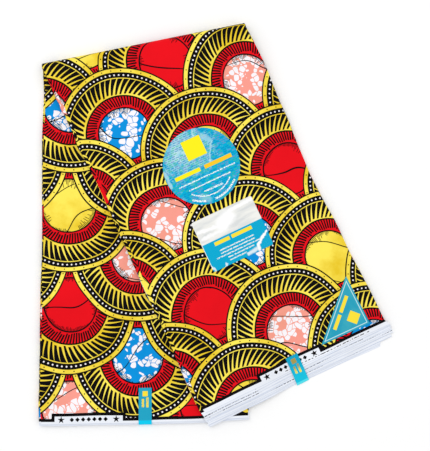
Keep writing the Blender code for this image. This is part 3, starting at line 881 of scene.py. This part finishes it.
def bars(tree, place, rows):
    """Plain bars on a label. Rows: middle across and along, half length and half height, in mm."""
    across, along, _ = add(tree, "SeparateXYZ", (place,)).node.outputs
    found = []
    for middle, level, half_length, half_height in rows:
        beside = add(tree, "Math", (across, middle, half_length), operation="COMPARE")
        beside_level = add(tree, "Math", (along, level, half_height), operation="COMPARE")
        found.append(add(tree, "Math", (beside, beside_level), operation="MULTIPLY"))
    return combined(tree, found, "MAXIMUM")


def broken(tree, place, mask, length, least):
    """A mask broken into short marks of uneven length, where a stretched noise is high."""
    stretched = add(tree, "VectorMath", (place, (1 / length, MARK_REPEATS, 1.0)), operation="MULTIPLY")
    marks = add(tree, "TexNoise", {"Vector": stretched, "Scale": 1.0, "Detail": 1})
    marks = add(tree, "Math", (marks, least), operation="GREATER_THAN")
    return add(tree, "Math", (mask, marks), operation="MULTIPLY")


def glares(tree, place, rows):
    """Soft streaks of painted glare. Rows: across and along of both ends, half width, in mm, and strength.
    """
    stir = add(tree, "TexNoise", {"Vector": place, **GLARE_NOISE}, out="Color")
    stir = add(tree, "VectorMath", (stir, (0.5, 0.5, 0.5)), operation="SUBTRACT")
    place = add(tree, "VectorMath", (stir, GLARE_STIR, place), operation="MULTIPLY_ADD")
    found = []
    for across, along, to_across, to_along, half_width, strength in rows:
        start = Vector((across, along, 0))
        run = Vector((to_across, to_along, 0)) - start
        from_start = add(tree, "VectorMath", (place, start), operation="SUBTRACT")
        scaled = run / run.length_squared
        share = add(tree, "VectorMath", (from_start, scaled), out=1, operation="DOT_PRODUCT")
        share = add(tree, "Math", (share, 0.0), operation="ADD", use_clamp=True)
        nearest = add(tree, "VectorMath", {0: run, "Scale": share}, operation="SCALE")
        away = add(tree, "VectorMath", (from_start, nearest), out=1, operation="DISTANCE")
        fading = (away, half_width * GLARE_EVEN, half_width, strength, 0.0)
        found.append(add(tree, "MapRange", fading, interpolation_type="SMOOTHSTEP"))
    return combined(tree, found, "MAXIMUM")


def wrinkled(tree, place, scale):
    """Height of pressed paper or film: soft low wrinkles."""
    return add(tree, "TexNoise", {"Vector": place, "Scale": scale, "Detail": 3})


# The round label's fine dashes: their rows' spacing and height, their spacing and length, in mm, the
# share of places that each ink takes, and how strong it is
DASH_ROWS = (3.2, 1.4)
DASHES = (7.0, 5.2)
DASH_INKS = ((0.0, 0.36, DASH_BLUE), (0.36, 0.66, DASH_GREEN), (0.66, 0.9, DASH_VIOLET))
DASH_STRENGTH = 0.8
# Its painted glare patch: where it is thickest, in mm, what the distance from there adds, its noise and its
# range
GLARE_PATCH_MIDDLE = (-16, -34, 0)
GLARE_PATCH_NEAR = (14.0, 62.0, 0.17, -0.06)
GLARE_PATCH_NOISE = {"Scale": 0.09, "Detail": 6, "Roughness": 0.8}
GLARE_PATCH_RANGE = (0.50, 0.74, 0.0, 0.9)
# Its creases as streaks of painted glare, its bars in both yellows, its straight rows and its curved rows.
# A curved row's columns: radius and half height in mm, middle and half length in radians
ROUND_CREASE_GLARES = (
    (31, -30, 15, -2, 1.9, 0.55), (10.4, -60, 6, -41, 1.9, 0.55), (-57.8, -15, -57.6, 11, 3.2, 0.6),
    (21, -42, 28, -34, 6.5, 0.45), (-20, 44, -12, 52, 7.0, 0.35),
)
ROUND_BARS = ((-25.5, 3.2, 21.5, 3.2), (0.8, -31, 16, 16))
ROUND_GOLD_BARS = ((27.0, 3.2, 23.5, 3.2),)
ROUND_ROWS = ((1.5, 17.2, 48.5, 0.9), (1.5, 27.5, 36, 0.9), (3, 38.4, 16, 1.3))
ROUND_ARCS = ((47.5, 0.9, 0.0, 0.78), (55.6, 1.5, -0.5, 0.2), (55.6, 1.5, 0.36, 0.4))
# The length of the marks that break the rows, in mm, and the least noise in one, and the wrinkles' scale
ROUND_MARKS = (2.2, 0.46)
ROUND_WRINKLES = 0.12


def dashes(tree, place):
    """Rows of short dashes in three inks by chance, each row shifted from the next, as masks with inks."""
    row_spacing, height = DASH_ROWS
    spacing, length = DASHES
    across, along, _ = add(tree, "SeparateXYZ", (place,)).node.outputs
    row = add(tree, "Math", (along, 1 / row_spacing), operation="MULTIPLY")
    number, level = repeats(tree, row)
    level = add(tree, "Math", (level, height / row_spacing), operation="LESS_THAN")
    shift = add(tree, "TexWhiteNoise", {"W": number}, noise_dimensions="1D")
    beside = add(tree, "Math", (across, 1 / spacing, shift), operation="MULTIPLY_ADD")
    column, inside = repeats(tree, beside)
    inside = add(tree, "Math", (inside, length / spacing), operation="LESS_THAN")
    cell = add(tree, "CombineXYZ", (column, number, 0.0))
    chance = add(tree, "TexWhiteNoise", (cell,), noise_dimensions="2D")
    masks = []
    for first, last, ink in DASH_INKS:
        chosen = add(tree, "Math", (chance, (first + last) / 2, (last - first) / 2), operation="COMPARE")
        masks.append((combined(tree, (level, inside, chosen, DASH_STRENGTH), "MULTIPLY"), ink))
    return masks


def round_look(tree):
    """Teal foil paper: rows of fine dashes, a patch of painted glare at its upper left, painted glare along
    its creases, a plain block, bars and broken rows.
    """
    place = label_place(tree, *ROUND_CENTRE)
    away = add(tree, "VectorMath", (place, GLARE_PATCH_MIDDLE), out=1, operation="DISTANCE")
    near = add(tree, "MapRange", (away, *GLARE_PATCH_NEAR))
    glare_patch = add(tree, "TexNoise", {"Vector": place, **GLARE_PATCH_NOISE})
    glare_patch = add(tree, "Math", (glare_patch, near), operation="ADD")
    glare_patch = add(tree, "MapRange", (glare_patch, *GLARE_PATCH_RANGE))

    across, along, _ = add(tree, "SeparateXYZ", (place,)).node.outputs
    out = from_middle(tree, across, along)
    turn = add(tree, "Math", (across, along), operation="ARCTAN2")
    rows = [bars(tree, place, ROUND_ROWS)]
    for radius, half, middle, reach in ROUND_ARCS:
        ring = add(tree, "Math", (out, radius, half), operation="COMPARE")
        facing = add(tree, "Math", (turn, middle, reach), operation="COMPARE")
        rows.append(add(tree, "Math", (ring, facing), operation="MULTIPLY"))
    rows = broken(tree, place, combined(tree, rows, "MAXIMUM"), *ROUND_MARKS)
    coats = (
        (glare_patch, PALE_INK_AND_GLARE), *dashes(tree, place), (glares(tree, place, ROUND_CREASE_GLARES), PALE_INK_AND_GLARE), (rows, WHITE_INK_AND_GLARE),
        (bars(tree, place, ROUND_BARS), BRIGHT_YELLOW), (bars(tree, place, ROUND_GOLD_BARS), INK_GOLD),
    )
    return layered(tree, TEAL, coats), wrinkled(tree, place, ROUND_WRINKLES)


# The card, in mm from its upper left corner: where the teal starts, the white part's streaks of painted
# shade as repeats a mm and their range, the painted glares on white and over all, and the bars and broken
# rows
CARD_SPLIT = 39.5
CARD_SHADE_STREAKS = (0.022, 0.11, 1.0)
CARD_SHADE_RANGE = (0.42, 0.62, 0.0, 1.0)
CARD_WHITE_GLARES = (
    (44, 22, 58, 15, 15, 1.0), (4, 19, 44, 22, 4, 0.9), (6, 31, 44, 30, 4, 0.8), (62, 7, 101, 5, 4, 0.9),
)
CARD_GLARES = (
    (104.3, 60.5, 92, 67, 2.6, 1.0), (92, 67, 81, 77, 3.2, 1.0), (81, 77, 81, 84, 3.2, 0.95),
    (62, 82, 78, 80, 4.0, 0.7), (21, 84, 24, 80, 2.2, 0.7), (1, 76, 4, 83, 2.4, 0.7),
)
CARD_BARS = ((32.5, 45.6, 13.0, 2.9), (66.5, 45.4, 17.5, 2.9))
CARD_ROWS = (
    (52.4, 57.7, 29.5, 0.95), (52.6, 62.7, 30, 0.95), (50.3, 67.7, 37, 0.95), (53.3, 72.7, 22.5, 0.95),
    (45.7, 77.7, 14.5, 0.95),
)
CARD_RIM = ((0, 20, 1.0, 60),)
CARD_MARKS = (2.6, 0.44)
CARD_WRINKLES = 0.07


def card_look(tree):
    """Coated card: white above and teal below, with painted shade in streaks and painted glare where it
    would catch the light.
    """
    place = label_place(tree, CARD_ACROSS[0], CARD_ALONG[0])
    _, down, _ = add(tree, "SeparateXYZ", (place,)).node.outputs
    below = add(tree, "Math", (down, CARD_SPLIT), operation="GREATER_THAN")
    # The white part's grey streaks are painted shade between painted gloss
    streaky = add(tree, "VectorMath", (place, CARD_SHADE_STREAKS), operation="MULTIPLY")
    shade = add(tree, "TexNoise", {"Vector": streaky, "Scale": 1.0, "Detail": 3})
    shade = add(tree, "MapRange", (shade, *CARD_SHADE_RANGE))
    rows = broken(tree, place, bars(tree, place, CARD_ROWS), *CARD_MARKS)
    coats = (
        (shade, CARD_PAINTED_SHADE), (glares(tree, place, CARD_WHITE_GLARES), WHITE_INK_AND_GLARE), (below, CARD_TEAL),
        (bars(tree, place, CARD_RIM), CARD_WHITE), (rows, CARD_WHITE),
        (bars(tree, place, CARD_BARS), INK_YELLOW), (glares(tree, place, CARD_GLARES), WHITE_INK_AND_GLARE),
    )
    return layered(tree, CARD_WHITE, coats), wrinkled(tree, place, CARD_WRINKLES)


# The corner label: how far inside the sides its line lies and its half width, in mm, its patches of painted
# shade, their scale and range, and its bars and block, with the slanting side level and its middle at (0, 0)
CORNER_LINE = (3.3, 0.62)
CORNER_SHADE_SCALE = 0.035
CORNER_SHADE_RANGE = (0.42, 0.6, 0.0, 0.8)
CORNER_BARS = ((-15.5, 11.6, 12.5, 2.9), (15, 11.6, 14, 2.9), (0.9, 33.6, 8.6, 8.6))
CORNER_WRINKLES = 0.1


def corner_look(tree):
    """Teal foil with patches of painted shade, a thin white line inside its sides, two bars along its slant
    and a plain block.
    """
    middle = CORNER_LABEL.mean(axis=0)
    place = label_place(tree, *middle)
    corners = (CORNER_LABEL - middle) / MM
    from_sides = []
    for corner, following in zip(corners, np.roll(corners, -1, axis=0)):
        side = (following - corner) / np.linalg.norm(following - corner)
        inwards = np.array((-side[1], side[0], 0.0))
        away = add(tree, "VectorMath", (place, inwards), out=1, operation="DOT_PRODUCT")
        from_sides.append(add(tree, "Math", (away, -float(inwards[:2] @ corner)), operation="ADD"))
    line = add(tree, "Math", (combined(tree, from_sides, "MINIMUM"), *CORNER_LINE), operation="COMPARE")
    # Patches of painted shade where the foil wrinkles
    deep = add(tree, "MapRange", (wrinkled(tree, place, CORNER_SHADE_SCALE), *CORNER_SHADE_RANGE))
    slant = corners[0] - corners[2]
    slant_middle = (*(corners[0] + corners[2]) / 2, 0.0)
    from_slant = add(tree, "VectorMath", (place, slant_middle), operation="SUBTRACT")
    turned = {"Vector": from_slant, "Angle": math.atan2(-slant[1], slant[0])}
    turned = add(tree, "VectorRotate", turned, rotation_type="Z_AXIS")
    coats = ((deep, CORNER_PAINTED_SHADE), (line, PALE_INK_AND_GLARE), (bars(tree, turned, CORNER_BARS), INK_YELLOW))
    return layered(tree, CORNER_TEAL, coats), wrinkled(tree, place, CORNER_WRINKLES)


# The bands, in mm from their upper end: where they turn paler, where the lower ink takes over, the lip's
# soft edge, the block, and the two columns of bars with the marks that break them
BAND_PALER = (10.0, 34.0)
BAND_LOWER_INK = (19.0, 25.0)
LIP_EDGE = 1.2
BAND_BLOCK = ((0.0, 9.0, 4.0, 4.0),)
BAND_BARS = ((-3.4, 23.4, 1.8, 6.4), (3.4, 22.4, 1.8, 7.6))
BAND_MARKS = (2.4, 0.4)
BAND_WRINKLES = 0.15
# Where each band's lip starts
FRONT_LIP_START = 45.0
BACK_LIP_START = 50.5


def band_look(top_ink, low_ink, lip_ink, mark_inks, across_sizes, start, lip_start):
    """A film band's look: paler lower down, a plain block, two columns of bars and a bright lip."""
    def look(tree):
        place = label_place(tree, sum(across_sizes) / 2, start)
        _, down, _ = add(tree, "SeparateXYZ", (place,)).node.outputs
        low = add(tree, "MapRange", (down, *BAND_PALER))
        lip = add(tree, "MapRange", (down, lip_start - LIP_EDGE, lip_start))
        lower = add(tree, "MapRange", (down, *BAND_LOWER_INK))
        marks = broken(tree, place, bars(tree, place, BAND_BARS), *BAND_MARKS)
        block_ink, upper_ink, lower_ink = mark_inks
        mark_ink = layered(tree, upper_ink, ((lower, lower_ink),))
        coats = (
            (low, low_ink), (lip, lip_ink), (marks, mark_ink), (bars(tree, place, BAND_BLOCK), block_ink),
        )
        return layered(tree, top_ink, coats), wrinkled(tree, place, BAND_WRINKLES)
    return look


# A bump's strength and distance, for the weave, for pressed paper and for film
WEAVE_BUMP = (0.05, 0.0002)
PAPER_BUMP = (0.1, 0.0006)
FILM_BUMP = (0.15, 0.0006)


def materials():
    """Every finish by name. Each is named for what the real one is made of."""
    front = band_look(FRONT_TEAL, FRONT_PALE, FRONT_LIP, (GOLD, GOLD, INK_YELLOW),
                      FRONT_BAND_ACROSS, FRONT_BAND_START, FRONT_LIP_START)
    back = band_look(BACK_TEAL, BACK_TEAL, BACK_LIP, (INK_YELLOW,) * 3,
                     BACK_BAND_ACROSS, BACK_BAND_START, BACK_LIP_START)
    cotton = {"Roughness": 0.66, "Sheen Weight": 0.02, "Specular IOR Level": 0.06}
    foil = {"Roughness": 0.4, "Specular IOR Level": 0.04}
    sticker = {"Roughness": 0.4, "Specular IOR Level": 0.1}
    glossy = {"Roughness": 0.25, "Specular IOR Level": 0.1}
    return {
        # Calendered cotton is matt with a faint sheen of its pressed threads
        "cotton": finish("calendered_wax_print_cotton", cotton_look, WEAVE_BUMP, cotton),
        # Foil laminated paper is satin
        "foil": finish("teal_foil_paper", round_look, PAPER_BUMP, foil),
        # Coated card is glossy
        "card": finish("coated_card", card_look, PAPER_BUMP, glossy),
        # A foil sticker is satin and a little brighter than foil paper
        "corner": finish("teal_foil_sticker", corner_look, PAPER_BUMP, sticker),
        # Polypropylene film is thin and glossy
        "front_film": finish("polypropylene_film", front, FILM_BUMP, glossy),
        "back_film": finish("polypropylene_film_back", back, FILM_BUMP, glossy),
    }


def on_cloth(points):
    """The front half's points for across, along and a lift over the cloth, as columns of an array."""
    return front_points(points[..., 0], points[..., 1], -points[..., 2])


def rounded(corners, radius):
    """An outline with an arc at each corner, tangent to both of its sides, and points along each side."""
    corners = np.array(corners)
    arcs = []
    for here, before, after in zip(corners, np.roll(corners, 1, axis=0), np.roll(corners, -1, axis=0)):
        back = (before - here) / np.linalg.norm(before - here)
        ahead = (after - here) / np.linalg.norm(after - here)
        half_angle = math.acos(back @ ahead) / 2
        middle = (back + ahead) / np.linalg.norm(back + ahead)
        centre = here + middle * radius / math.sin(half_angle)
        first = here + back * radius / math.tan(half_angle) - centre
        last = here + ahead * radius / math.tan(half_angle) - centre
        turn = math.atan2(first[0] * last[1] - first[1] * last[0], first @ last)
        angle = turn * np.linspace(0, 1, CORNER_TURNS + 1)
        sideways = np.array((-first[1], first[0]))
        arcs.append(centre + np.cos(angle)[:, None] * first + np.sin(angle)[:, None] * sideways)
    sides = []
    for arc, following in zip(arcs, arcs[1:] + arcs[:1]):
        shares = np.linspace(0, 1, SIDE_TURNS + 1)[1:-1, None]
        sides.append(np.concatenate((arc, mix(arc[-1], following[0], shares))))
    return np.concatenate(sides)


def label(name, outline, node, slot, finish_made, crinkle):
    """A thin label on the front half: rings shrunk from its outline to its centre, a little crinkled."""
    centre = outline.mean(axis=0)
    share = (1 - np.arange(LABEL_RINGS) / LABEL_RINGS)[:, None, None]
    flat = centre + share * (outline - centre)
    flat = np.concatenate((flat.reshape(-1, 2), centre[None]))
    across, along = flat.T
    waves = sum(
        np.sin(2 * math.pi * (across * math.cos(turn) + along * math.sin(turn)) / length + start)
        for length, turn, start in CRINKLES
    )
    lift = LABEL_LIFT + crinkle * waves / len(CRINKLES)
    points = on_cloth(np.stack((across, along, lift), axis=-1))
    count = len(outline)
    index = np.arange(LABEL_RINGS * count).reshape(LABEL_RINGS, count)
    after = np.roll(index, -1, axis=1)
    faces = np.stack((index[:-1], after[:-1], after[1:], index[1:]), axis=-1).reshape(-1, 4).tolist()
    middle = LABEL_RINGS * count
    faces += [(here, there, middle) for here, there in zip(index[-1].tolist(), after[-1].tolist())]
    made = shell(name, points, np.array(faces, dtype=object), flat, FACE_MAP, PAPER)
    return dress(made, slot, finish_made, node)


def band(name, place, across_sizes, profile, node, finish_made):
    """A strip of film bent over the selvedges: a softened profile of along and depth, carried across."""
    profile = np.array(profile)
    lengths = np.concatenate(((0.0,), np.cumsum(np.linalg.norm(np.diff(profile, axis=0), axis=1))))
    at = np.linspace(0, lengths[-1], FILM_ROWS)
    path = np.stack([np.interp(at, lengths, profile[:, side]) for side in (0, 1)], axis=1)
    for _ in range(FILM_PASSES):
        path[1:-1] = (path[:-2] + 2 * path[1:-1] + path[2:]) / 4
    across = np.linspace(*across_sizes, FILM_COLUMNS)
    grid_across, grid_along = np.meshgrid(across, path[:, 0])
    depth = np.broadcast_to(path[:, 1:], grid_along.shape)
    sway = FILM_SWAY * np.sin(grid_along / FILM_ALONG)
    crinkle = FILM_CRINKLE * np.sin(grid_across / FILM_ACROSS + sway)
    away = -1 if place is front_points else 1
    points = place(grid_across, grid_along, depth + away * (crinkle + FILM_CRINKLE))
    # The map keeps the film's own length, so that its pattern isn't stretched where it bends down
    film = np.broadcast_to((profile[0, 0] + at)[:, None], grid_along.shape)
    made = surface(name, points, np.stack((grid_across, film), axis=-1), FACE_MAP, PAPER)
    return dress(made, "film_band", finish_made, node)


def dress(piece, slot, finish_made, *nodes):
    """Gives a piece its finish and lets it ride in place of its nodes. The slot is not used."""
    piece.data.materials.clear()
    piece.data.materials.append(finish_made)
    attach(piece, "root")
    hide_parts(*nodes)
    return piece


def cloth(finishes):
    """Every stretch of the one length: the outermost and innermost layers in two halves, the rest whole."""
    def stretch(name, grids, node):
        points, positions = [np.concatenate(parts) for parts in zip(*grids)]
        piece = surface(name, points, positions, CUT_MAP, COTTON)
        dress(piece, "printed_cotton", finishes["cotton"], node)

    last = LAYERS - 1
    stretch("outer_back_cloth", [back_grid(0)], "outer_back_stretch")
    front = [fold_ends(0, back_grid), fold_grid(0), front_grid(0)]
    stretch("outer_front_cloth", front, "outer_front_stretch")
    for layer in range(1, last):
        grids = [back_grid(layer), fold_grid(layer), front_grid(layer)]
        stretch(f"folded_cloth_{layer:02d}", grids, "folded_layers")
    back = [back_grid(last), fold_grid(last), fold_ends(last, front_grid)]
    stretch("inner_back_cloth", back, "inner_back_stretch")
    stretch("inner_front_cloth", [front_grid(last)], "inner_front_stretch")


def fold_ends(layer, grid):
    """The row of a half that lies on the fold's axis, which joins it to the rows round the fold."""
    row = slice(-1, None) if grid is back_grid else slice(0, 1)
    points, positions = grid(layer)
    return points[row], positions[row]


def labels(finishes):
    """The three labels on the front half and the two film bands over the selvedges."""
    angles = np.linspace(0, 2 * math.pi, CIRCLE_POINTS, endpoint=False)
    circle = np.array(ROUND_CENTRE) + ROUND_RADIUS * np.stack((np.cos(angles), np.sin(angles)), axis=1)
    label("round_foil_label", circle, "round_label", "foil_label", finishes["foil"], ROUND_CRINKLE)
    left, right = CARD_ACROSS
    top, bottom = CARD_ALONG
    card = rounded(((left, top), (right, top), (right, bottom), (left, bottom)), CARD_CORNER)
    label("coated_card_label", card, "card_label", "card_label", finishes["card"], CARD_CRINKLE)
    triangle = rounded(CORNER_LABEL, CORNER_ROUND)
    label("corner_foil_label", triangle, "corner_label", "foil_label", finishes["corner"], CORNER_CRINKLE)

    above = -BAND_GAP
    last = FRONT_LENGTH + FRONT_BAND_PAST
    front_profile = (
        (FRONT_BAND_START, above),
        (front_reach(0) + FRONT_BAND_TURN, above),
        (last + FRONT_BAND_SLANT, STACK - BAND_LIP),
        (last + BAND_LIP, STACK - BAND_GAP),
    )
    band("front_film_band", front_points, FRONT_BAND_ACROSS, front_profile, "front_band",
         finishes["front_film"])
    top = STACK + BAND_GAP
    past = BACK_LENGTH + BACK_BAND_PAST
    back_profile = (
        (BACK_BAND_START, top),
        (past - BAND_LIP, top),
        (past, top - BAND_LIP),
        (past, BAND_GAP),
    )
    band("back_film_band", back_points, BACK_BAND_ACROSS, back_profile, "back_band", finishes["back_film"])


def studio():
    """A pale floor, soft even light and the camera at the photograph's angle."""
    mesh = bpy.data.meshes.new("floor")
    sides = ((-1, -1), (1, -1), (1, 1), (-1, 1))
    corners = [(FLOOR_HALF * across, FLOOR_HALF * along, 0) for across, along in sides]
    mesh.from_pydata(corners, [], [(0, 1, 2, 3)])
    floor = bpy.data.objects.new("floor", mesh)
    bpy.context.collection.objects.link(floor)
    white = bpy.data.materials.new("white_paper")
    white.use_nodes = True
    sockets = {"Base Color": linear(PURE_WHITE), "Roughness": FLOOR_ROUGHNESS, "Specular IOR Level": 0.0}
    for socket, value in sockets.items():
        white.node_tree.nodes["Principled BSDF"].inputs[socket].default_value = value
    mesh.materials.append(white)

    world = bpy.data.worlds.new("soft_white")
    world.use_nodes = True
    world.node_tree.nodes["Background"].inputs["Color"].default_value = linear(PURE_WHITE)
    world.node_tree.nodes["Background"].inputs["Strength"].default_value = SKY_STRENGTH
    bpy.context.scene.world = world
    for name, place, wide, power in SOFT_BOXES:
        light = bpy.data.lights.new(name, "AREA")
        light.size = wide
        light.energy = power
        lamp = bpy.data.objects.new(name, light)
        lamp.location = place
        lamp.rotation_euler = (-Vector(place)).to_track_quat("-Z", "Y").to_euler()
        bpy.context.collection.objects.link(lamp)

    lens = bpy.data.cameras.new("camera")
    lens.sensor_width = SENSOR
    lens.lens = SENSOR * FOCAL / FRAME_HEIGHT
    camera = bpy.data.objects.new("camera", lens)
    turned = (Matrix.Rotation(CAMERA_TURN, 3, "Y") @ Matrix.Rotation(CAMERA_TILT, 3, "X")).transposed()
    place = turned @ Vector((0, 0, CAMERA_DISTANCE)) + VIEW_CENTRE
    camera.matrix_world = Matrix.Translation(place) @ turned.to_4x4()
    bpy.context.collection.objects.link(camera)
    scene = bpy.context.scene
    scene.camera = camera
    scene.view_settings.view_transform = "Standard"


studio()
made = materials()
cloth(made)
labels(made)
bpy.context.view_layer.update()
